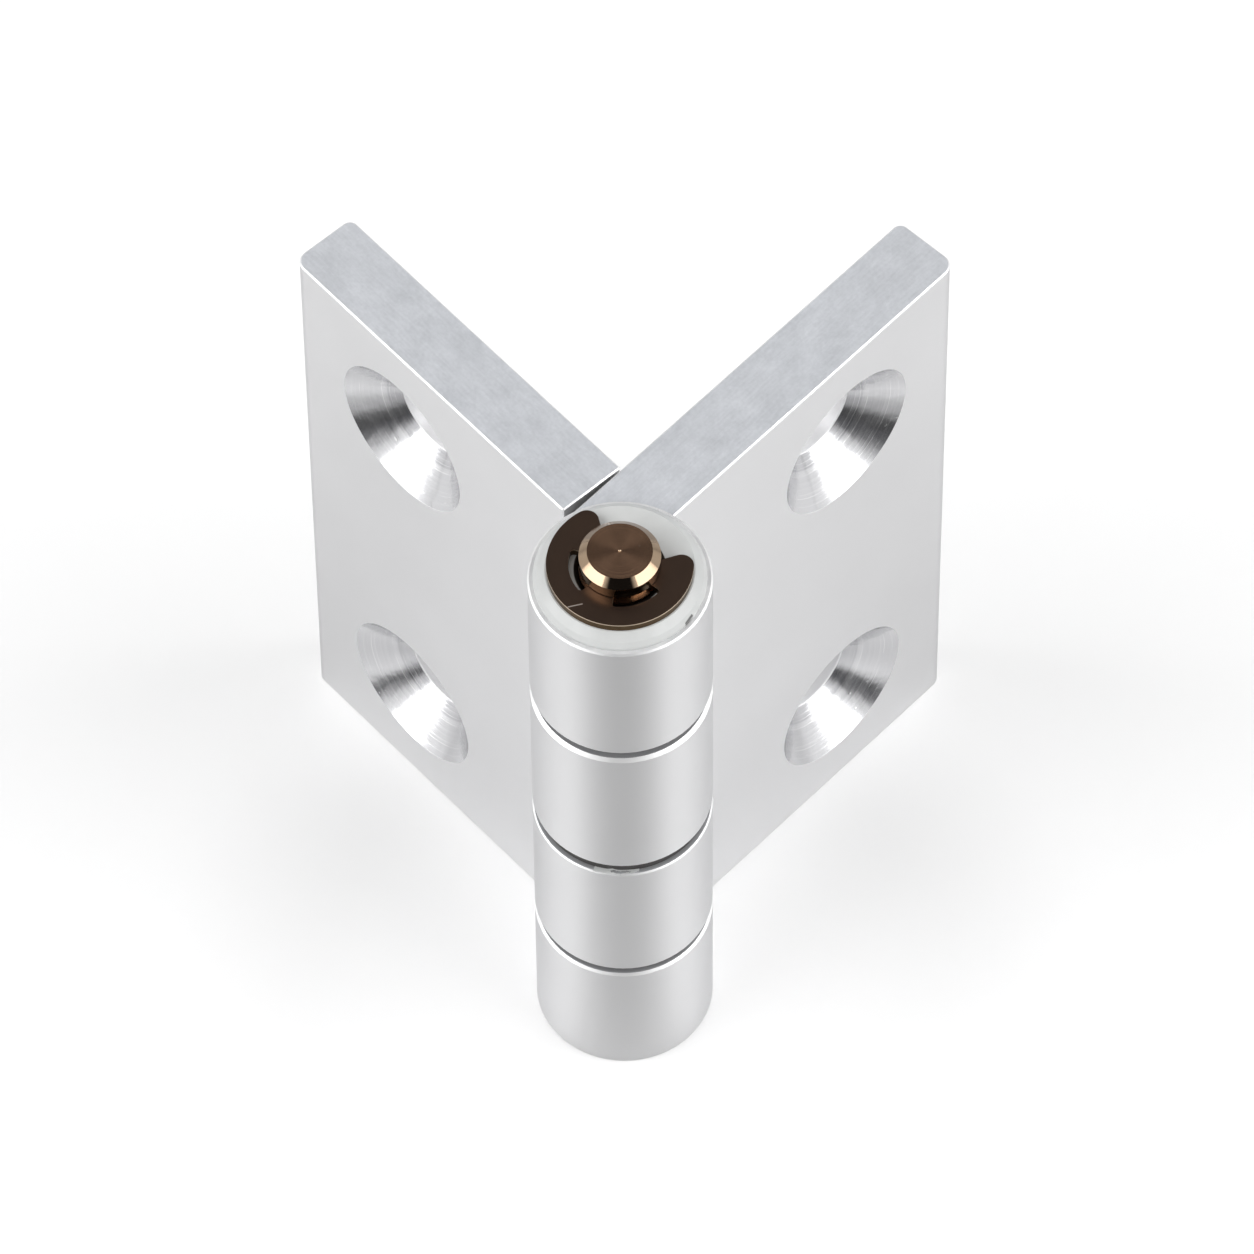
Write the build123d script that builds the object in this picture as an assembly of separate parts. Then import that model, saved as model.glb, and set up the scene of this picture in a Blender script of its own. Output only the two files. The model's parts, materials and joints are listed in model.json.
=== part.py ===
from build123d import *
from math import atan2, cos, degrees, radians, sin
import os

# A butt hinge with thick leaves: four interleaved knuckles turn on flanged plastic bushes
# about a headed pin, which a retaining clip holds at the top.
# Millimetres, +Z up. The pin's axis is the Z axis and the barrel stands on z = 0. The right leaf
# lies along +X with its back face towards +Y. The left leaf is turned from it by fold_angle, so
# the two back faces look at each other, and the countersunk front faces look outwards.

# Leaves and barrel
leaf_height = 75.0
leaf_reach = 50.0
leaf_thickness = 7.5
fold_angle = 85.0
barrel_radius = 9.0
notch_distance = 10.0
front_corner_radius = 1.5
back_corner_radius = 0.9
root_fillet = 0.5
edge_break = 0.15

# Second and third knuckles, counted from the top, and the gaps beside them
second_length = 19.7
third_length = 18.1
upper_gap = 1.15
middle_gap = 1.4
lower_gap = 0.95
axial_play = 0.1
under_break = 0.35
second_top_break = 0.35
fourth_top_break = 0.25
barrel_rise = 0.9
barrel_rim_break = 0.18

# Screw holes for M8 countersunk screws
hole_spacing = 46.5
hole_to_edge = 15.75
hole_radius = 4.5
countersink_radius = 8.7
countersink_angle = 90.0

# Pin and its head
pin_radius = 4.0
pin_end_length = 2.1
pin_end_chamfer = 0.8
centre_mark_radius = 0.15
head_radius = 6.0
head_height = 3.0
head_chamfer = 0.5
head_side_clearance = 0.5

# Groove and retaining clip
groove_radius = 3.5
groove_width = 1.0
clip_thickness = 0.9
clip_radius = 7.15
clip_fit = 0.02
clip_opening = 5.84
clip_tip_radius = 1.2
clip_flare_angle = 42.0
window_radius = 5.0
window_start = 99.0
window_end = 159.5
window_corner_radius = 0.35
clip_turn = 13.7

# Bushes and thrust washer
running_clearance = 0.05
bush_wall = 0.95
bush_fit = 0.02
bush_end_clearance = 0.5
flange_inset = 1.5
top_flange_inset = 0.55
top_flange_height = 1.6
top_rim_height = 0.35
top_shoulder_inset = 0.9
top_shoulder_height = 0.85
top_flange_rounding = 0.25
clip_seat_margin = 0.15
bore_mouth = 0.4
washer_inset = 0.6
head_flange_height = 0.9
head_flange_clearance = 0.2

# Worked out from the sizes above
front_offset = barrel_radius - leaf_thickness
end_knuckle = (leaf_height - second_length - third_length - upper_gap - middle_gap - lower_gap) / 2
third_low = end_knuckle + lower_gap
third_high = third_low + third_length
second_low = third_high + middle_gap
second_high = second_low + second_length
first_low = second_high + upper_gap
flange_radius = barrel_radius - flange_inset
top_flange_radius = barrel_radius - top_flange_inset
top_shoulder_radius = barrel_radius - top_shoulder_inset
clip_seat_radius = clip_radius + clip_seat_margin
washer_radius = barrel_radius - washer_inset
bush_bore_radius = pin_radius + running_clearance
bush_radius = bush_bore_radius + bush_wall
knuckle_bore_radius = bush_radius + bush_fit
counterbore_radius = head_radius + head_side_clearance
counterbore_depth = head_height + axial_play + head_flange_height
barrel_top = leaf_height + barrel_rise
groove_low = barrel_top + top_flange_height
groove_high = groove_low + groove_width
pin_top = groove_high + pin_end_length


def corner(section, x, y):
    """The corner of a section nearest to a point."""
    return section.vertices().sort_by_distance((x, y, 0))[0]


def plate_section():
    """Level section of the flat plate, from the notch to the far edge."""
    length = leaf_reach - notch_distance
    section = Pos(notch_distance, front_offset) * Rectangle(length, leaf_thickness, align=Align.MIN)
    section = fillet(corner(section, leaf_reach, front_offset), front_corner_radius)
    section = fillet(corner(section, leaf_reach, barrel_radius), back_corner_radius)
    section = chamfer(corner(section, notch_distance, front_offset), edge_break)
    return chamfer(corner(section, notch_distance, barrel_radius), edge_break)


def knuckle_section():
    """Level section of a knuckle with the web that runs into the plate."""
    overlap = leaf_thickness / 2
    web = Rectangle(notch_distance + overlap, leaf_thickness, align=Align.MIN)
    section = Circle(barrel_radius) + Pos(0, front_offset) * web
    return fillet(corner(section, barrel_radius, front_offset), root_fillet)


def prism(section, low, high, low_break, high_break):
    """A section extruded between two heights, with both ends' edges broken."""
    solid = Pos(0, 0, low) * extrude(section, high - low)
    solid = chamfer(solid.faces().sort_by(Axis.Z)[0].edges(), low_break)
    return chamfer(solid.faces().sort_by(Axis.Z)[-1].edges(), high_break)


def turned(*outline):
    """A solid of revolution about the pin's axis, from (radius, height) points."""
    return revolve(make_face(Plane.XZ * Polyline(*outline, close=True)), Axis.Z)


def screw_hole(height):
    """Hole with its countersink on the front face, as a tool to cut away."""
    slope = countersink_angle / 2
    depth = (countersink_radius - hole_radius) * cos(radians(slope)) / sin(radians(slope))
    sink = Cone(countersink_radius, hole_radius, depth, align=(Align.CENTER, Align.CENTER, Align.MIN))
    shaft = Cylinder(hole_radius, leaf_thickness, align=(Align.CENTER, Align.CENTER, Align.MIN))
    return Pos(leaf_reach - hole_to_edge, front_offset, height) * Rot(-90, 0, 0) * (sink + shaft)


def leaf(*knuckles):
    """A leaf along +X with its back towards +Y: knuckles as (low, high, low break, high break)."""
    solid = prism(plate_section(), 0, leaf_height, edge_break, edge_break)
    for knuckle in knuckles:
        solid += prism(knuckle_section(), *knuckle)
    solid -= Pos(0, 0, leaf_height / 2) * Cylinder(knuckle_bore_radius, leaf_height)
    for side in (-1, 1):
        solid -= screw_hole(leaf_height / 2 + side * hole_spacing / 2)
    return solid


def right_leaf():
    """The leaf with the first and third knuckles. The first stands proud of the leaf's top."""
    first = (first_low, leaf_height, under_break, edge_break)
    third = (third_low, third_high, under_break, edge_break)
    rim = turned(
        (knuckle_bore_radius, first_low + under_break),
        (barrel_radius, first_low + under_break),
        (barrel_radius, barrel_top - barrel_rim_break),
        (barrel_radius - barrel_rim_break, barrel_top),
        (knuckle_bore_radius, barrel_top),
    )
    return leaf(first, third) + rim


def left_leaf():
    """The leaf with the second and fourth knuckles, and the pin head's counterbore."""
    counterbore = Cylinder(counterbore_radius, counterbore_depth, align=(Align.CENTER, Align.CENTER, Align.MIN))
    second = (second_low, second_high, under_break, second_top_break)
    fourth = (0, end_knuckle, edge_break, fourth_top_break)
    solid = leaf(second, fourth) - counterbore
    return Rot(0, 0, fold_angle) * solid.mirror(Plane.XZ)


def bush(radius, height, knuckle_length):
    """A flanged bush: its seat at z = 0, the flange above it and the sleeve below."""
    sleeve = knuckle_length - bush_end_clearance
    return turned(
        (bush_bore_radius, -sleeve),
        (bush_radius, -sleeve),
        (bush_radius, 0),
        (radius, 0),
        (radius, height),
        (bush_bore_radius, height),
    )


def first_knuckle_bush():
    """The top bush, whose thick crowned flange rises from its rim to the clip's seat."""
    sleeve = end_knuckle + barrel_rise - bush_end_clearance
    section = make_face(Polyline(
        (bush_bore_radius, -sleeve),
        (bush_radius, -sleeve),
        (bush_radius, 0),
        (top_flange_radius, 0),
        (top_flange_radius, top_rim_height),
        (top_shoulder_radius, top_shoulder_height),
        (clip_seat_radius, top_flange_height),
        (bush_bore_radius + bore_mouth, top_flange_height),
        (bush_bore_radius, top_flange_height - bore_mouth),
        close=True,
    ))
    section = fillet(corner(section, top_shoulder_radius, top_shoulder_height), top_flange_rounding)
    return Pos(0, 0, barrel_top) * revolve(Plane.XZ * section, Axis.Z)


def second_knuckle_bush():
    """The bush of the second knuckle, with its flange in the gap above it."""
    return Pos(0, 0, second_high) * bush(flange_radius, upper_gap - axial_play, second_length)


def third_knuckle_bush():
    """The bush of the third knuckle, with its flange in the gap below it."""
    flipped = Rot(180, 0, 0) * bush(flange_radius, lower_gap - axial_play, third_length)
    return Pos(0, 0, third_low) * flipped


def fourth_knuckle_bush():
    """The bottom bush, with its flange between the counterbore's floor and the pin's head."""
    radius = counterbore_radius - head_flange_clearance
    flipped = Rot(180, 0, 0) * bush(radius, head_flange_height, end_knuckle - counterbore_depth)
    return Pos(0, 0, counterbore_depth) * flipped


def middle_thrust_washer():
    """The plain washer between the second and third knuckles, lying on the third."""
    height = middle_gap - axial_play
    ring = turned((bush_bore_radius, 0), (washer_radius, 0), (washer_radius, height), (bush_bore_radius, height))
    return Pos(0, 0, third_high) * ring


def hinge_pin():
    """The headed pin, with its clip groove, chamfered end and centre mark."""
    return turned(
        (0, 0),
        (head_radius - head_chamfer, 0),
        (head_radius, head_chamfer),
        (head_radius, head_height),
        (pin_radius, head_height),
        (pin_radius, groove_low),
        (groove_radius, groove_low),
        (groove_radius, groove_high),
        (pin_radius, groove_high),
        (pin_radius, pin_top - pin_end_chamfer),
        (pin_radius - pin_end_chamfer, pin_top),
        (centre_mark_radius, pin_top),
        (0, pin_top - centre_mark_radius),
    )


def window(start, end):
    """Sector cut out of the clip's inside, between two angles from its opening."""
    reach = 2 * window_radius
    rim = [(reach * cos(radians(a)), reach * sin(radians(a))) for a in (start, (start + end) / 2, end)]
    return Circle(window_radius) & make_face(Polyline((0, 0), *rim, close=True))


def retaining_clip():
    """The clip: three lugs on the groove, two windows, and round tips beside the opening."""
    inner_radius = groove_radius + clip_fit
    half = clip_opening / 2
    throat_angle = degrees(atan2(half, (inner_radius ** 2 - half ** 2) ** 0.5))
    throat_x = inner_radius * cos(radians(throat_angle))
    reach = 2 * clip_radius
    flare_x = throat_x + reach * cos(radians(clip_flare_angle))
    flare_y = half + reach * sin(radians(clip_flare_angle))
    outline = [(0, half), (throat_x, half), (flare_x, flare_y)]
    opening = make_face(Polyline(*outline, *[(x, -y) for x, y in reversed(outline)], close=True))
    section = Circle(clip_radius) - opening
    tips = section.vertices().group_by(Axis.X)[-1]
    section = fillet(tips, clip_tip_radius)
    section -= Circle(inner_radius)
    section -= window(window_start, window_end)
    section -= window(-window_end, -window_start)
    inner = [v for v in section.vertices() if abs(v.center().length - window_radius) < clip_fit]
    section = fillet(inner, window_corner_radius)
    return Pos(0, 0, groove_low) * Rot(0, 0, clip_turn) * extrude(section, clip_thickness)


pieces = {
    "right_leaf": right_leaf,
    "left_leaf": left_leaf,
    "hinge_pin": hinge_pin,
    "retaining_clip": retaining_clip,
    "first_knuckle_bush": first_knuckle_bush,
    "second_knuckle_bush": second_knuckle_bush,
    "middle_thrust_washer": middle_thrust_washer,
    "third_knuckle_bush": third_knuckle_bush,
    "fourth_knuckle_bush": fourth_knuckle_bush,
}

os.makedirs("parts", exist_ok=True)
for name, make in pieces.items():
    export_step(make(), f"parts/{name}.step")
    print(name)
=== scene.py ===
# %% [markdown]
# # A hinge with thick countersunk leaves, in Blender
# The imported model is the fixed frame: every solid is already in its place, in metres, with the pin
# on the Z axis. This notebook adds the camera, the light, the finish of each surface and the small
# marks that the machining and the use have left.

# %% Load the frame
import json
import math

import bmesh
import bpy
from mathutils import Matrix, Vector


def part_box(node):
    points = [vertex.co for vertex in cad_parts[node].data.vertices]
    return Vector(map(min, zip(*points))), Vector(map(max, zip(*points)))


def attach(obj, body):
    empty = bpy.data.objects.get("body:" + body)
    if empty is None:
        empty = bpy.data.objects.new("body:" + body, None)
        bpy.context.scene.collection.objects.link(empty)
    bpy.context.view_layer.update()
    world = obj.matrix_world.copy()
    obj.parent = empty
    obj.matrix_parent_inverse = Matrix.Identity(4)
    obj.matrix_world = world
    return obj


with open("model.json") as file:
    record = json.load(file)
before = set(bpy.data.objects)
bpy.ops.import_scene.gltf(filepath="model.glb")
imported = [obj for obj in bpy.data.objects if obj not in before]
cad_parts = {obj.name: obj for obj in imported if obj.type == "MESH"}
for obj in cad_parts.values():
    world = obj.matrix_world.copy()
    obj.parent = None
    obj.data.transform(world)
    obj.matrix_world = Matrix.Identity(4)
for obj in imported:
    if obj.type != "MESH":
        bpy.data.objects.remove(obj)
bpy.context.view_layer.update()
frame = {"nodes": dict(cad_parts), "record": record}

print("nodes", sorted(frame["nodes"]))

# %% [markdown]
# ## Sizes that the looks need
# They are read from the frame where it holds them, so that a finish stays on its edge when the
# model changes. The left leaf is the right leaf mirrored and turned about the pin, so a turn and a
# change of sign bring any point of it into the same plain directions as the right leaf.

# %% Sizes
MM = 0.001
mounts = {mount["name"]: mount for mount in frame["record"]["mounts"]}
right_screws = mounts["right_leaf_screws"]
left_screws = mounts["left_leaf_screws"]
barrel_radius = -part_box("right_leaf")[0].x
leaf_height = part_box("left_leaf")[1].z
clip_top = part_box("retaining_clip")[1].z
hole_reach, back_offset, middle = right_screws["pos_m"]
hole_rise = right_screws["dims"]["spacing_y_mm"] * MM / 2
fold = math.radians(90) + math.atan2(left_screws["axis"][1], left_screws["axis"][0])
front_offset = 1.5 * MM
print("barrel radius", round(barrel_radius / MM, 2), "mm")
print("leaf height", round(leaf_height / MM, 2), "mm")
print("the leaves stand", round(math.degrees(fold), 1), "degrees apart")

# %% [markdown]
# ## The camera
# The photograph looks down steeply on the hinge with a long lens. Fitting a camera to the edges of
# the leaves gave its distance, its height above the floor and its lens, so the same numbers are
# used here. The camera's own axes are turned one after another: heading, tilt and a small roll.

# %% Camera
CAMERA_DISTANCE = 1.10676
CAMERA_ELEVATION = math.radians(57.72)
CAMERA_HEADING = math.radians(46.26)
CAMERA_SWING = math.radians(0.06)
CAMERA_TILT = math.radians(-56.88)
CAMERA_ROLL = math.radians(-0.62)
FRAME_PIXELS = 1254
FOCAL_PIXELS = 11117.8
SENSOR_MM = 36.0
FARTHEST_SEEN = 20.0

camera = bpy.data.objects.new("camera", bpy.data.cameras.new("camera"))
bpy.context.scene.collection.objects.link(camera)
camera.data.sensor_width = SENSOR_MM
camera.data.lens = SENSOR_MM * FOCAL_PIXELS / FRAME_PIXELS
camera.data.clip_end = FARTHEST_SEEN
level = CAMERA_DISTANCE * math.cos(CAMERA_ELEVATION)
place = Vector((
    -level * math.sin(CAMERA_HEADING),
    -level * math.cos(CAMERA_HEADING),
    leaf_height / 2 + CAMERA_DISTANCE * math.sin(CAMERA_ELEVATION),
))
turn = Matrix.Rotation(-CAMERA_HEADING - CAMERA_SWING, 4, "Z")
turn = turn @ Matrix.Rotation(math.radians(90) + CAMERA_TILT, 4, "X")
turn = turn @ Matrix.Rotation(CAMERA_ROLL, 4, "Z")
camera.matrix_world = Matrix.Translation(place) @ turn
bpy.context.scene.camera = camera
print("lens", round(camera.data.lens, 1), "mm at", [round(v, 4) for v in place])

# %% [markdown]
# ## Shader sums as Python
# A finish is mostly arithmetic on places and noises. One small class wraps a socket, so that an
# expression such as `1 - mask * 0.3` adds the Math nodes itself, and one method makes any other
# node from its type, its settings and its inputs. Some outputs are known best by their number.

# %% Sockets that can be added and multiplied
CAMERA_RAY, GLOSSY_RAY, THROUGH_RAY = 0, 3, 6
GENERATED, OBJECT_PLACE = 0, 3
FACE_NORMAL = 1
MIX_LOW, MIX_HIGH, MIX_RESULT = 6, 7, 2


class Wire:
    """An output socket of a material's tree, or only the tree, with Python's operators."""

    def __init__(self, tree, socket=None):
        self.tree = tree
        self.socket = socket

    def node(self, kind, settings=None, inputs=None, output=0):
        """Adds a node: first its settings, then the values or links of its sockets."""
        made = self.tree.nodes.new(kind)
        for name, value in (settings or {}).items():
            setattr(made, name, value)
        for name, value in (inputs or {}).items():
            self.plug(made.inputs[name], value)
        return Wire(self.tree, made.outputs[output])

    def plug(self, socket, value):
        """Links a wire into a socket, or sets a plain value on it."""
        if isinstance(value, Wire):
            self.tree.links.new(value.socket, socket)
        else:
            socket.default_value = value

    def math(self, operation, *values):
        """A Math node on this wire and the other values."""
        numbered = dict(enumerate((self,) + values))
        return self.node("ShaderNodeMath", {"operation": operation}, numbered)

    def __add__(self, other):
        return self.math("ADD", other)

    def __radd__(self, other):
        return self.math("ADD", other)

    def __sub__(self, other):
        return self.math("SUBTRACT", other)

    def __rsub__(self, other):
        return (self * -1) + other

    def __mul__(self, other):
        return self.math("MULTIPLY", other)

    def __rmul__(self, other):
        return self.math("MULTIPLY", other)

    def __truediv__(self, other):
        return self.math("DIVIDE", other)

    def __abs__(self):
        return self.math("ABSOLUTE")

    def step(self, edge, soft, under, over):
        """A soft step from one value to another, where this wire passes an edge."""
        inputs = {"Value": self, "From Min": edge - soft, "From Max": edge + soft,
                  "To Min": under, "To Max": over}
        return self.node("ShaderNodeMapRange", {"interpolation_type": "SMOOTHSTEP"}, inputs)

    def below(self, edge, soft):
        """1 where the value is under the edge, 0 above it, over a soft width."""
        return self.step(edge, soft, 1.0, 0.0)

    def above(self, edge, soft):
        """0 where the value is under the edge, 1 above it, over a soft width."""
        return self.step(edge, soft, 0.0, 1.0)

    def blend(self, low, high):
        """A colour between two others, by this wire as the factor."""
        inputs = {0: self, MIX_LOW: low, MIX_HIGH: high}
        return self.node("ShaderNodeMix", {"data_type": "RGBA"}, inputs, MIX_RESULT)

    def axes(self):
        """The three parts of a vector."""
        return [self.node("ShaderNodeSeparateXYZ", None, {"Vector": self}, i) for i in range(3)]

    def turned(self, angle):
        """A vector turned about the Z axis."""
        inputs = {"Vector": self, "Rotation": (0.0, 0.0, angle)}
        return self.node("ShaderNodeMapping", None, inputs)

    def reach(self, other):
        """The distance from zero of two parts of a vector."""
        return (self * self + other * other).math("SQRT")


# %% [markdown]
# ## Patterns
# Every finish starts from the place on the piece, in metres, so that a pattern stays on the piece
# when a joint moves it. A noise spreads over the place. A noise of one number changes only with
# that number, which suits the marks of a lathe: the number is the distance to the axis. A stroke
# is one straight mark, for a scratch, a nick or a band of painted shade.

# %% Patterns
def object_place(maker):
    """The place on the piece, in metres."""
    return maker.node("ShaderNodeTexCoord", None, None, OBJECT_PLACE)


def facing_up(maker):
    """1 where the surface is level, 0 where it is upright."""
    return abs(maker.node("ShaderNodeNewGeometry", None, None, FACE_NORMAL).axes()[2])


def noise(place, scale, detail=2.0, stretch=(1.0, 1.0, 1.0)):
    """Noise over a place, stretched along its axes; the scale is in blotches to the metre."""
    stretched = place.node("ShaderNodeMapping", None, {"Vector": place, "Scale": stretch})
    return place.node("ShaderNodeTexNoise", None,
                      {"Vector": stretched, "Scale": scale, "Detail": detail})


def rings(distance, scale, detail):
    """Noise that changes only with one distance."""
    return distance.node("ShaderNodeTexNoise", {"noise_dimensions": "1D"},
                         {"W": distance, "Scale": scale, "Detail": detail})


def stroke(place, start, end, width):
    """1 on a straight mark between two points seen from above, 0 away from it."""
    x, y, up = place.axes()
    length = (end[0] - start[0], end[1] - start[1])
    square = length[0] ** 2 + length[1] ** 2
    gone = ((x - start[0]) * length[0] + (y - start[1]) * length[1]) * (1.0 / square)
    gone = gone.math("MAXIMUM", 0.0).math("MINIMUM", 1.0)
    aside = x - start[0] - gone * length[0]
    beyond = y - start[1] - gone * length[1]
    return aside.reach(beyond).below(width / 2, width / 4)


# %% [markdown]
# ## Finishes
# A finish is one material with one Principled shader. What is the same all over the piece is set
# on the shader's own sockets, and only what changes from place to place is linked.

# %% Finishes
def grey(level, blue=0.0):
    """A grey, with a little more blue where the real one is cool."""
    return (level, level, level + blue, 1.0)


def new_finish(name, **constants):
    """A material whose shader has the given constants: returns it, its shader and a wire maker."""
    material = bpy.data.materials.new(name)
    material.use_nodes = True
    shader = material.node_tree.nodes["Principled BSDF"]
    for socket, value in constants.items():
        shader.inputs[socket.replace("_", " ")].default_value = value
    return material, shader, Wire(material.node_tree)


def connect(shader, maker, **sockets):
    """Links wires to the named sockets of the shader."""
    for name, wire in sockets.items():
        maker.plug(shader.inputs[name.replace("_", " ")], wire)


def bump(maker, height, strength, distance):
    """A Bump node over a height wire."""
    inputs = {"Height": height, "Strength": strength, "Distance": distance}
    return maker.node("ShaderNodeBump", None, inputs)


def dress(node, material):
    """Puts a material on a node of the frame."""
    for slot in frame["nodes"][node].material_slots:
        slot.material = material
    print(node, "wears", material.name)


# %% [markdown]
# ## The floor
# The hinge stands on a white sweep. One large flat square is enough for it, because the camera
# looks down and sees no horizon. It belongs to the stage and not to the object.

# %% Floor
FLOOR_HALF = 3.0

sheet = bmesh.new()
bmesh.ops.create_grid(sheet, x_segments=1, y_segments=1, size=FLOOR_HALF)
floor_mesh = bpy.data.meshes.new("floor")
sheet.to_mesh(floor_mesh)
sheet.free()
floor = bpy.data.objects.new("floor", floor_mesh)
bpy.context.scene.collection.objects.link(floor)
print("floor", [round(v, 2) for v in floor.dimensions])

# %% [markdown]
# ## White where the photograph is white
# A Light Path node lets the camera see the floor a little brighter than the lamps make it, and
# brighter still away from the hinge, so that the hinge's own shadow stays. Polished metal needs
# something dark to mirror: for reflections alone the floor in front is grey, and nearly black
# further out, which draws the dark bands in the countersinks. A small guard keeps the division
# for "in front" from failing on the pin's axis.

# %% The floor's finish
FLOOR_LEVEL = 0.8
FLOOR_LIFT = 0.055
CLEAR_FROM = 0.042
CLEAR_SOFT = 0.012
CLEAR_LIFT = 0.11
FRONT_FROM = (0.72, 0.30)
FRONT_DIM = 0.55
FLOOR_END = 0.16
PAST_FLOOR = grey(0.06)
AXIS_GUARD = 2 * MM


def white_sweep():
    """Matt white, clear away from the hinge, with a grey front and a dark far part to mirror."""
    material, shader, maker = new_finish(
        "white_sweep", Roughness=1.0, Specular_IOR_Level=0.0, Emission_Strength=1.0)
    by_camera = maker.node("ShaderNodeLightPath", None, None, CAMERA_RAY)
    by_gloss = maker.node("ShaderNodeLightPath", None, None, GLOSSY_RAY)
    through = maker.node("ShaderNodeLightPath", None, None, THROUGH_RAY)
    across, forward, up = object_place(maker).turned(CAMERA_HEADING).axes()
    reach = across.reach(forward)
    ahead = (forward * -1) / (reach + AXIS_GUARD)
    in_front = by_gloss * ahead.above(*FRONT_FROM)
    near_front = grey(FLOOR_LEVEL * (1 - FRONT_DIM))
    colour = in_front.blend(grey(FLOOR_LEVEL), near_front)
    colour = (in_front * reach.above(FLOOR_END, FLOOR_END / 3)).blend(colour, PAST_FLOOR)
    cleared = reach.above(CLEAR_FROM, CLEAR_SOFT) * CLEAR_LIFT
    lift = (by_camera + through).math("MINIMUM", 1.0) * (cleared + FLOOR_LIFT)
    connect(shader, maker, Base_Color=colour, Emission_Color=lift.blend(grey(0.0), grey(1.0)))
    return material


floor_mesh.materials.append(white_sweep())
print("floor wears", floor_mesh.materials[0].name)

# %% [markdown]
# ## The studio round the hinge
# The world is the rest of the studio. It gives every surface an even light and a white backdrop.
# In reflections it is white low down and dark overhead, so that the flat tops don't glare, and
# behind the camera there is a dark room, which the pin's chamfer mirrors between two highlights.
# Each part begins at an edge with a soft width, both in units of a direction of length one.

# %% World
HIGH_FROM = (0.68, 0.10)
DARKEST_FROM = (0.35, 0.08)
BEHIND_FROM = (-0.1, 0.1)
ROOM_HALF_WIDTH = (0.47, 0.08)
WORLD_LIGHT = 0.48
SKY_LOW = grey(1.0)
SKY_HIGH = grey(0.08, 0.003)
DARK_LOW = grey(0.11, 0.005)
DARK_ROOM = grey(0.015, 0.002)

world = bpy.data.worlds.new("studio")
bpy.context.scene.world = world
world.use_nodes = True
maker = Wire(world.node_tree)
direction = maker.node("ShaderNodeTexCoord", None, None, GENERATED)
to_right, to_back, to_zenith = direction.turned(CAMERA_HEADING).axes()
sky = to_zenith.above(*HIGH_FROM).blend(SKY_LOW, SKY_HIGH)
room = to_zenith.above(*DARKEST_FROM).blend(DARK_LOW, DARK_ROOM)
behind_camera = to_back.below(*BEHIND_FROM) * abs(to_right).below(*ROOM_HALF_WIDTH)
sky = behind_camera.blend(sky, room)
by_camera = maker.node("ShaderNodeLightPath", None, None, CAMERA_RAY)
by_gloss = maker.node("ShaderNodeLightPath", None, None, GLOSSY_RAY)
through = maker.node("ShaderNodeLightPath", None, None, THROUGH_RAY)
seen = (by_camera + by_gloss + through).math("MINIMUM", 1.0)
backdrop = world.node_tree.nodes["Background"]
maker.plug(backdrop.inputs["Color"], by_gloss.blend(grey(1.0), sky))
maker.plug(backdrop.inputs["Strength"], seen * (1.0 - WORLD_LIGHT) + WORLD_LIGHT)
print("world light", WORLD_LIGHT)

# %% [markdown]
# ## The lamps
# Two large softboxes at the left and right give the barrel its two pale bands and the chamfer its
# two highlights. Area lamps are used because polished metal shows the shape of what lights it.

# %% Softboxes
LAMP_HEADING = 73.0
LAMP_ELEVATION = 38.0
LAMP_DISTANCE = 1.2
LAMP_SIZE = (1.17, 0.96)
LAMP_RADIANCE = 3.0


def softbox(name, heading):
    """A rectangular lamp that looks at the hinge; headings count rightwards from the camera."""
    lamp = bpy.data.lights.new(name, "AREA")
    lamp.shape = "RECTANGLE"
    lamp.size, lamp.size_y = LAMP_SIZE
    lamp.energy = LAMP_RADIANCE * math.pi * lamp.size * lamp.size_y
    around = math.radians(heading) - CAMERA_HEADING
    rise = math.radians(LAMP_ELEVATION)
    ray = Vector((math.sin(around) * math.cos(rise), -math.cos(around) * math.cos(rise),
                  math.sin(rise)))
    aim = Vector((0.0, 0.0, leaf_height / 2))
    stand = bpy.data.objects.new(name, lamp)
    bpy.context.scene.collection.objects.link(stand)
    facing = ray.to_track_quat("Z", "Y").to_matrix().to_4x4()
    stand.matrix_world = Matrix.Translation(aim + ray * LAMP_DISTANCE) @ facing
    print(name, round(lamp.energy, 2), "W")


softbox("right_softbox", LAMP_HEADING)
softbox("left_softbox", -LAMP_HEADING)

# %% [markdown]
# ## Natural anodised aluminium
# Both leaves are cut from one extruded bar. The faces are satin, the sawn and milled ends are a
# little cooler and mottled, the deburred edges are bright, and the countersinks are turned cones.
# The leaf could be cut into parts with a material each, but the frame's mesh stays as it is: masks
# made from the place on the leaf choose between the finishes. The places come first.

# %% Where on the leaf
SINK_RADIUS = 8.7 * MM
BORE_RADIUS = 4.6 * MM
RIM_START = 8.35 * MM
GAP_REACH = 8.75 * MM
GAP_TOP = 2.0 * MM
SHARP = 0.02 * MM
CRISP = 0.05 * MM
BLURRED = 0.3 * MM
LEVEL_END = (0.93, 0.03)
LEVEL_BEVEL = (0.25, 0.1)


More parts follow.
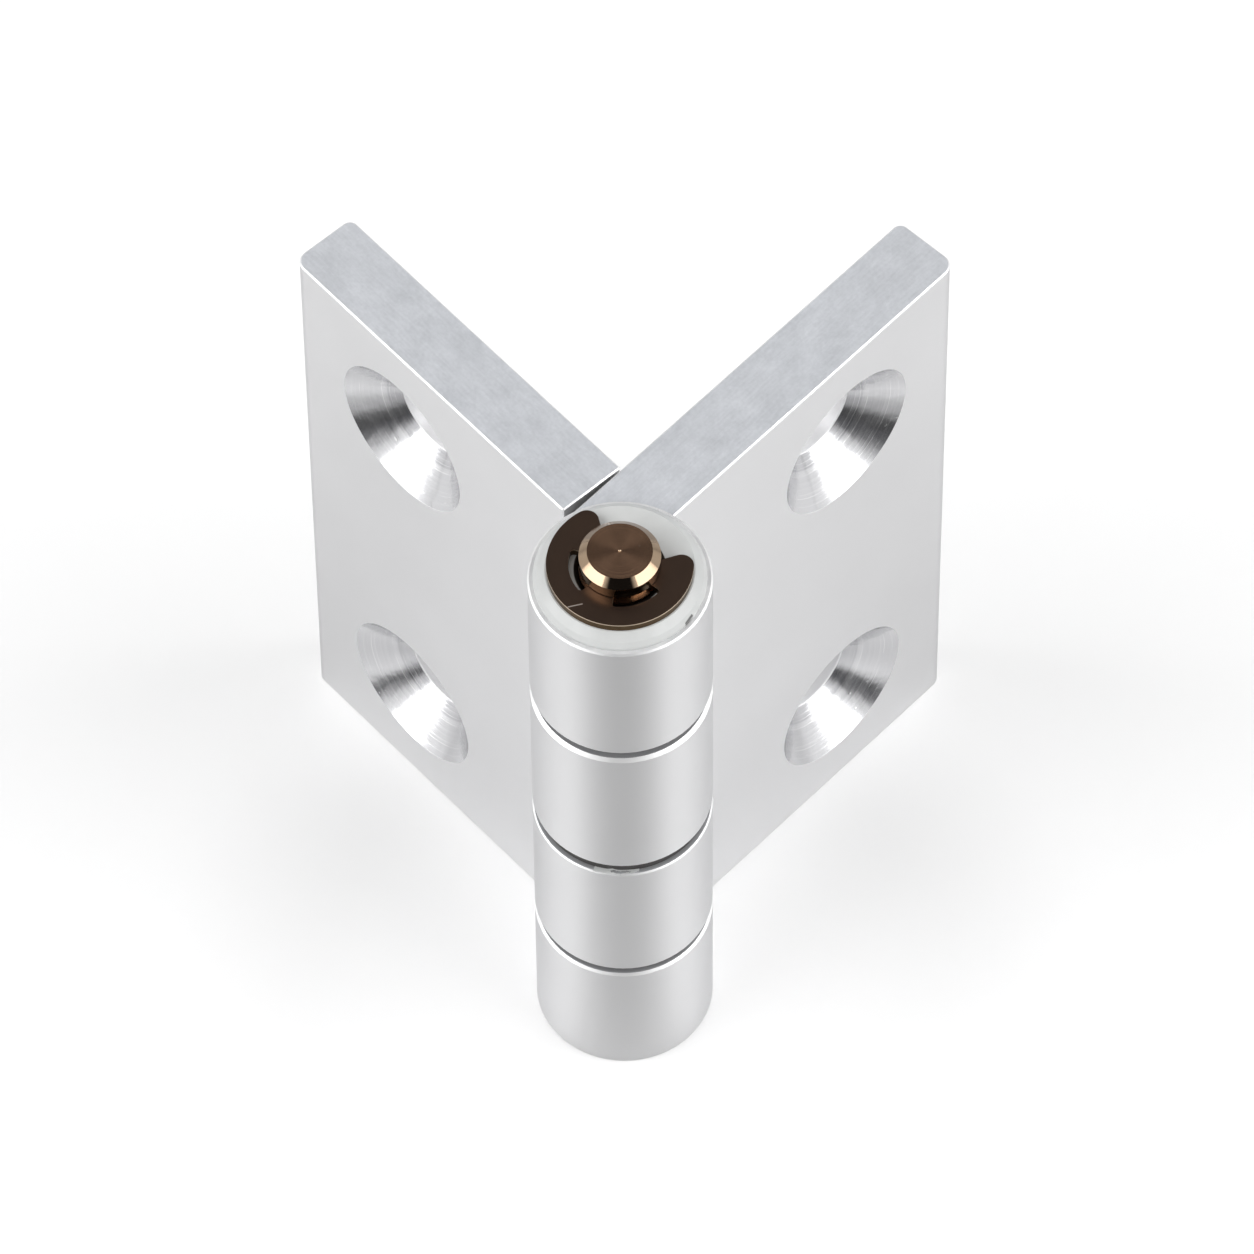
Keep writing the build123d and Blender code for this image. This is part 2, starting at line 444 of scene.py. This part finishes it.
def leaf_places(maker, leaf_turn, mirrored):
    """The place in the leaf's own directions, with the masks of its parts."""
    place = object_place(maker).turned(-leaf_turn)
    along, out, up = place.axes()
    if mirrored:
        out = out * -1
    from_axis = along.reach(out)
    ring = (along - hole_reach).reach(abs(abs(up - middle) - hole_rise))
    in_front = out.above(front_offset + SHARP, SHARP / 2)
    before_back = out.below(back_offset - CRISP, SHARP)
    sunk = ring.below(SINK_RADIUS + 1.5 * SHARP, SHARP) * in_front * before_back
    level = facing_up(maker)
    flat_end = level.above(*LEVEL_END) * (1 - sunk)
    barrel = from_axis.below(barrel_radius + CRISP, CRISP)
    rim = from_axis.above(RIM_START, CRISP) * barrel * up.above(leaf_height, BLURRED)
    # This mask marks the knuckle tops between the knuckles, which get painted shade.
    gap = up.below(leaf_height - GAP_TOP, BLURRED) * from_axis.below(GAP_REACH, BLURRED)
    return {
        "place": place, "ring": ring, "sunk": sunk, "flat_end": flat_end, "barrel": barrel,
        "bevel": level.above(*LEVEL_BEVEL) * (1 - sunk) * (1 - flat_end),
        "rim": flat_end * rim, "in_gap": flat_end * gap,
        "bore": ring.below(BORE_RADIUS, 2 * SHARP) * sunk,
    }


# %% [markdown]
# ## Satin faces, milled ends and bright edges
# Rolling and sawing leave lines along the bar, so one noise is stretched that way. Strokes round
# the barrel come from handling: the same noise, pressed flat and cut off high, leaves only a few.
# The grazing tint is one constant of the shader. It takes the glare off the barrel's edges.

# %% Leaf surface
SATIN = grey(0.91, 0.005)
SATIN_LIGHT = grey(0.95, 0.005)
MILLED_DARK = (0.56, 0.575, 0.60, 1.0)
MILLED = (0.87, 0.885, 0.915, 1.0)
DEBURRED = grey(0.92)
DEBURRED_DULL = grey(0.82, 0.005)
# Painted shade: the knuckle tops in the gaps between the knuckles, under the knuckle above.
PAINTED_GAP_SHADE = grey(0.42, 0.01)
SCRATCHED = grey(0.95)
GRAZING = grey(0.5, 0.01)
ALONG_LEAF = (0.12, 1.0, 1.0)
ROUND_BARREL = (1.0, 1.0, 16.0)
RELIEF = {"strength": 0.3, "distance": 0.02 * MM}


def leaf_surface(shader, maker, parts):
    """The leaf outside its countersinks."""
    place, flat_end, bevel = parts["place"], parts["flat_end"], parts["bevel"]
    grain = noise(place, 7000.0, 3.0)
    mottle = noise(place, 2600.0, 4.0)
    lines = noise(place, 3600.0, 2.0, ALONG_LEAF)
    cloud = noise(place, 90.0)
    patches = noise(place, 420.0, 3.0)
    worn_edge = noise(place, 300.0, 3.0).above(0.5, 0.15)
    strokes = noise(place, 330.0, 3.0, ROUND_BARREL).above(0.73, 0.02) * parts["barrel"]
    satin = (cloud * 0.6 + grain * 0.4).blend(SATIN, SATIN_LIGHT)
    milled = (mottle * 0.5 + lines * 0.3 + patches * 0.6 - 0.2).blend(MILLED_DARK, MILLED)
    colour = flat_end.blend(satin, milled)
    # Painted shade: the knuckle tops inside the gaps are darkened where the knuckle above shades
    # them.
    colour = parts["in_gap"].blend(colour, PAINTED_GAP_SHADE)
    colour = (bevel + parts["rim"]).blend(colour, worn_edge.blend(DEBURRED_DULL, DEBURRED))
    colour = (strokes * 0.5).blend(colour, SCRATCHED)
    rough = 0.42 + (grain - 0.5) * 0.10 + (cloud - 0.5) * 0.06
    rough = rough + flat_end * (0.26 + mottle * 0.12) + bevel * 0.14
    height = grain * 0.3 + (mottle * 1.6 + lines * 0.9) * flat_end + strokes * 0.8
    connect(shader, maker, Base_Color=colour, Roughness=rough, Normal=bump(maker, height, **RELIEF))


# %% [markdown]
# ## Turned countersinks
# A countersink is a cone cut by a spinning tool, so its marks are rings about the hole's axis:
# a noise of the distance to that axis gives the rings, and a second, broken one gives burrs. The
# polish varies in blotches, which softens the edges of what the cone mirrors. The cone has a
# shader of its own, because the leaf's grazing tint would darken its far rim.

# %% Cone surface
TURNED = grey(0.77, 0.01)
TURNED_DARK = grey(0.61, 0.02)
INNER_TONE_AND_SHADE = grey(0.46, 0.02)
INNER_CUT = 5.7 * MM
BORE = grey(0.80, 0.01)


def cone_surface(maker, parts):
    """The countersinks and the bores behind them: the output of a shader."""
    place, ring, bore = parts["place"], parts["ring"], parts["bore"]
    turning = rings(ring, 2600.0, 3.0)
    arcs = rings(ring, 7000.0, 1.0).above(0.70, 0.03) * noise(place, 260.0, 1.0).above(0.45, 0.1)
    burrs = rings(ring, 3200.0, 1.0).above(0.55, 0.02)
    burrs = burrs * noise(place, 1100.0, 1.0).above(0.74, 0.02)
    chatter = noise(place, 420.0)
    colour = (turning * 0.8 + 0.1).blend(TURNED_DARK, TURNED)
    # Inside INNER_CUT the cone is darkened: partly the tone of the inner cut, partly painted shade
    # and reflection of the dark bore.
    colour = (ring.below(INNER_CUT, 2 * SHARP) * 0.45).blend(colour, INNER_TONE_AND_SHADE)
    colour = (arcs * 0.6 + burrs * 0.7).blend(colour, SCRATCHED)
    height = turning * 0.9 + arcs * 0.5 + burrs + chatter * 7
    return maker.node("ShaderNodeBsdfPrincipled", None, {
        "Base Color": bore.blend(colour, BORE),
        "Metallic": 1 - bore * 0.7,
        "Roughness": 0.05 + turning * 0.07 + chatter * 0.20 + bore * 0.3,
        "Normal": bump(maker, height, **RELIEF)})


# %% [markdown]
# ## Dressing the leaves
# A Mix Shader with the countersink mask as its factor joins the two finishes into one material.
# Each leaf has a material of its own, because each has its own direction from the pin.

# %% Both leaves
def aluminium(name, leaf_turn, mirrored):
    """The finish of one leaf."""
    material, shader, maker = new_finish(name, Metallic=1.0, Specular_Tint=GRAZING)
    parts = leaf_places(maker, leaf_turn, mirrored)
    leaf_surface(shader, maker, parts)
    leaf = Wire(material.node_tree, shader.outputs[0])
    cone = cone_surface(maker, parts)
    whole = maker.node("ShaderNodeMixShader", None, {0: parts["sunk"], 1: leaf, 2: cone})
    maker.plug(material.node_tree.nodes["Material Output"].inputs["Surface"], whole)
    return material


dress("right_leaf", aluminium("right_leaf_aluminium", 0.0, False))
dress("left_leaf", aluminium("left_leaf_aluminium", fold, True))

# %% [markdown]
# ## Milky plastic
# The bushes are moulded from a natural plastic. A little subsurface scattering lets light into it,
# which softens its edges as in the real material. Round the pin and in the clip's front window the
# plastic is painted near black as painted shade, and the top flange has one small nick, in the same
# dark.

# %% Plastic
PLASTIC = (0.52, 0.53, 0.525, 1.0)
PLASTIC_LIGHT = (0.61, 0.62, 0.615, 1.0)
SHADE_AND_NICK_DARK = (0.012, 0.009, 0.008, 1.0)
PIN_SHADE_RADIUS = 4.5 * MM
SHADED_WINDOW_STROKE = ((-4.0 * MM, -2.4 * MM), (-1.3 * MM, -4.5 * MM), 1.8 * MM)
FLANGE_NICK = ((1.35 * MM, -8.25 * MM), (0.30 * MM, -8.44 * MM), 0.16 * MM)


def milky_plastic():
    """Natural moulded plastic, pale and slightly translucent, with painted shade at the pin."""
    material, shader, maker = new_finish(
        "milky_plastic", Roughness=0.34, Subsurface_Weight=0.2, Subsurface_Scale=0.8 * MM,
        Subsurface_Radius=(1.0, 1.0, 1.0), IOR=1.5)
    place = object_place(maker)
    x, y, up = place.axes()
    # Painted shade: a near-black disc round the pin and a stroke in the clip's front window.
    pin_shade = x.reach(y).below(PIN_SHADE_RADIUS, 0.06 * MM) + stroke(place, *SHADED_WINDOW_STROKE)
    nick = stroke(place, *FLANGE_NICK) * up.above(leaf_height, 0.5 * MM)
    colour = noise(place, 500.0, 3.0).blend(PLASTIC, PLASTIC_LIGHT)
    colour = (pin_shade + nick * 0.8).blend(colour, SHADE_AND_NICK_DARK)
    grain = bump(maker, noise(place, 4000.0), 0.2, 0.01 * MM)
    connect(shader, maker, Base_Color=colour, Normal=grain)
    return material


plastic = milky_plastic()
for count in ("first", "second", "third", "fourth"):
    dress(count + "_knuckle_bush", plastic)

# %% [markdown]
# ## The washer in the middle gap
# Between the second and third knuckles the washer's rim is painted near black: painted shade under
# the knuckle above.

# %% Washer
WASHER_SHADE_DARK = (0.020, 0.018, 0.017, 1.0)
WASHER_SHADE_PALE = (0.085, 0.080, 0.078, 1.0)


def greased_plastic():
    """The washer's rim: painted shade, near black and a little uneven."""
    material, shader, maker = new_finish("greased_plastic", IOR=1.5)
    # Painted shade: the washer's rim lies in the shadow of the knuckle above.
    shade_noise = noise(object_place(maker), 900.0, 3.0)
    connect(shader, maker, Base_Color=shade_noise.blend(WASHER_SHADE_DARK, WASHER_SHADE_PALE),
            Roughness=0.35 + shade_noise * 0.3, Normal=bump(maker, shade_noise, 0.4, 0.03 * MM))
    return material


dress("middle_thrust_washer", greased_plastic())

# %% [markdown]
# ## The torn sliver
# At the front a sliver of the washer has been squeezed out over the edge of the knuckle below and
# has torn. It could be cut from a ring, but a bent grid is easier to ruffle: its points are laid
# round the barrel, narrower towards one end and lifted in one place, the slit's points are
# deleted, and the sheet is given its thickness last, so that its torn edges get walls too.

# %% Torn sliver
SLIVER_START, SLIVER_END = math.radians(-156.0), math.radians(-125.5)
SLIVER_INNER, SLIVER_OUTER = 8.15 * MM, 8.97 * MM
SLIVER_GRID = (150, 18)
SLIVER_THICKNESS = 0.05 * MM
NARROWING = 0.45
LIFT, CREST, CREST_PLACE, CREST_WIDTH = 0.06, 0.22, 0.40, 0.07
RIPPLES = ((0.02, 67, 0), (0.03, 23, 1), (0.02, 131, 0))
TEAR_START, TEAR_END = 0.36, 0.80
TEAR_DEPTH, TEAR_SLOPE, TEAR_HALF = 0.62, 0.16, 0.16


def in_tear(share, depth, ragged):
    """Whether a point of the sliver lies in its slit; both shares run from 0 to 1."""
    if not TEAR_START < share < TEAR_END:
        return False
    along = (share - TEAR_START) / (TEAR_END - TEAR_START)
    opened = TEAR_HALF * math.sin(math.pi * along) ** 0.5
    return abs(depth - TEAR_DEPTH - TEAR_SLOPE * (share - TEAR_START) - ragged) < opened


def torn_sliver():
    """The milky sliver on the knuckle below the washer, with its slit."""
    washer_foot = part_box("middle_thrust_washer")[0].z
    sheet = bmesh.new()
    bmesh.ops.create_grid(sheet, x_segments=SLIVER_GRID[0], y_segments=SLIVER_GRID[1], size=1.0)
    torn = []
    for point in sheet.verts:
        share = (point.co.x + 1) / 2
        depth = (point.co.y + 1) / 2
        ragged = sum(size * math.sin(waves * share + shift) for size, waves, shift in RIPPLES)
        width = (SLIVER_OUTER - SLIVER_INNER) * (1 - NARROWING * share ** 4)
        radius = SLIVER_INNER + (width + ragged * MM * (0.2 + share)) * depth
        crest = math.exp(-((share - CREST_PLACE) / CREST_WIDTH) ** 2) * (1 - depth)
        angle = SLIVER_START + (SLIVER_END - SLIVER_START) * share
        point.co = (radius * math.cos(angle), radius * math.sin(angle),
                    washer_foot + (LIFT + CREST * crest) * MM)
        if in_tear(share, depth, ragged):
            torn.append(point)
    bmesh.ops.delete(sheet, geom=torn, context="VERTS")
    bmesh.ops.recalc_face_normals(sheet, faces=sheet.faces[:])
    bmesh.ops.solidify(sheet, geom=sheet.faces[:], thickness=SLIVER_THICKNESS)
    mesh = bpy.data.meshes.new("torn_sliver")
    sheet.to_mesh(mesh)
    sheet.free()
    mesh.materials.append(plastic)
    sliver = bpy.data.objects.new("torn_sliver", mesh)
    bpy.context.scene.collection.objects.link(sliver)
    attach(sliver, "right_leaf")
    print("torn sliver", len(mesh.polygons), "faces")


torn_sliver()

# %% [markdown]
# ## The pin
# The pin is turned steel with a brown oxide. The lathe has left fine rings on its end, and rings
# spread a highlight across themselves, so the shader is made anisotropic: that gives the soft
# bow-tie of light, and a bump from the distance to the axis adds single rings to it.

# %% Pin
OXIDE_DARK = (0.40, 0.235, 0.145, 1.0)
OXIDE_LIGHT = (0.48, 0.29, 0.185, 1.0)
POLISH_DARK = (0.34, 0.245, 0.165, 1.0)
POLISH_LIGHT = (0.40, 0.30, 0.21, 1.0)
DUST = (0.95, 0.85, 0.75, 1.0)
PIN_FACE_LEVEL = (0.95, 0.02)


def pin_brown():
    """Turned steel with a brown oxide and fine lathe rings."""
    material, shader, maker = new_finish(
        "pin_brown", Metallic=1.0, Anisotropic=0.9, Anisotropic_Rotation=0.25)
    place = object_place(maker)
    x, y, up = place.axes()
    from_axis = x.reach(y)
    face = facing_up(maker).above(*PIN_FACE_LEVEL)
    coarse = rings(from_axis, 5200.0, 1.0)
    fine = rings(from_axis, 15000.0, 1.0)
    cloud = noise(place, 700.0)
    dust = noise(place, 2400.0).above(0.76, 0.02)
    polish = cloud.blend(POLISH_DARK, POLISH_LIGHT)
    colour = face.blend(polish, cloud.blend(OXIDE_DARK, OXIDE_LIGHT))
    colour = (dust * face * 0.5).blend(colour, DUST)
    rough = 0.08 + face * (0.11 + fine * 0.06) + cloud * 0.03
    height = (coarse * 0.7 + fine * 0.5) * face
    connect(shader, maker, Base_Color=colour, Roughness=rough,
            Normal=bump(maker, height, 0.4, 0.02 * MM))
    return material


dress("hinge_pin", pin_brown())

# %% [markdown]
# ## The clip
# The retaining clip is stamped from darker spring steel. Its face is a dull brown, its sides are
# darker, and a thin golden line runs along the upper edge: partly bare steel where the oxide has
# worn off, partly a painted highlight of a rounded edge that the model has sharp. That line comes
# from the height on the piece, and the one scratch from a straight mark between two points.

# %% Clip
CLIP_DARK = (0.145, 0.098, 0.074, 1.0)
CLIP_LIGHT = (0.205, 0.135, 0.096, 1.0)
CLIP_SIDE_DARK = (0.07, 0.040, 0.018, 1.0)
CLIP_SIDE = (0.15, 0.095, 0.045, 1.0)
WORN_AND_HIGHLIT_GOLD = (0.88, 0.72, 0.55, 1.0)
BARE_STEEL = (0.95, 0.86, 0.78, 1.0)
CLIP_FACE_LEVEL = (0.7, 0.1)
EDGE_DEPTH = 0.13 * MM
CLIP_SCRATCH = ((-7.05 * MM, 0.23 * MM), (-5.88 * MM, -0.52 * MM), 0.12 * MM)


def clip_brown():
    """Stamped spring steel: a dark brown face and a golden edge, worn and with a painted highlight.
    """
    material, shader, maker = new_finish("clip_brown", Metallic=1.0)
    place = object_place(maker)
    x, y, up = place.axes()
    face = facing_up(maker).above(*CLIP_FACE_LEVEL)
    grain = noise(place, 6000.0)
    highlit_edge_line = up.above(clip_top - EDGE_DEPTH, CRISP) * (1 - face)
    scratch = stroke(place, *CLIP_SCRATCH) * face
    side = noise(place, 900.0, 3.0).blend(CLIP_SIDE_DARK, CLIP_SIDE)
    colour = face.blend(side, noise(place, 260.0, 3.0).blend(CLIP_DARK, CLIP_LIGHT))
    # Painted highlight, partly worn metal: the golden line along the upper edge.
    colour = highlit_edge_line.blend(colour, WORN_AND_HIGHLIT_GOLD)
    colour = (scratch * 0.6).blend(colour, BARE_STEEL)
    rough = 0.27 + grain * 0.08 + highlit_edge_line * 0.10 + scratch * 0.2
    height = grain * 0.2 + scratch * 0.8
    connect(shader, maker, Base_Color=colour, Roughness=rough, Normal=bump(maker, height, **RELIEF))
    return material


dress("retaining_clip", clip_brown())

# %% [markdown]
# ## The end
# The Standard view shows each colour as it is written.

# %% Finish
bpy.context.scene.view_settings.view_transform = "Standard"
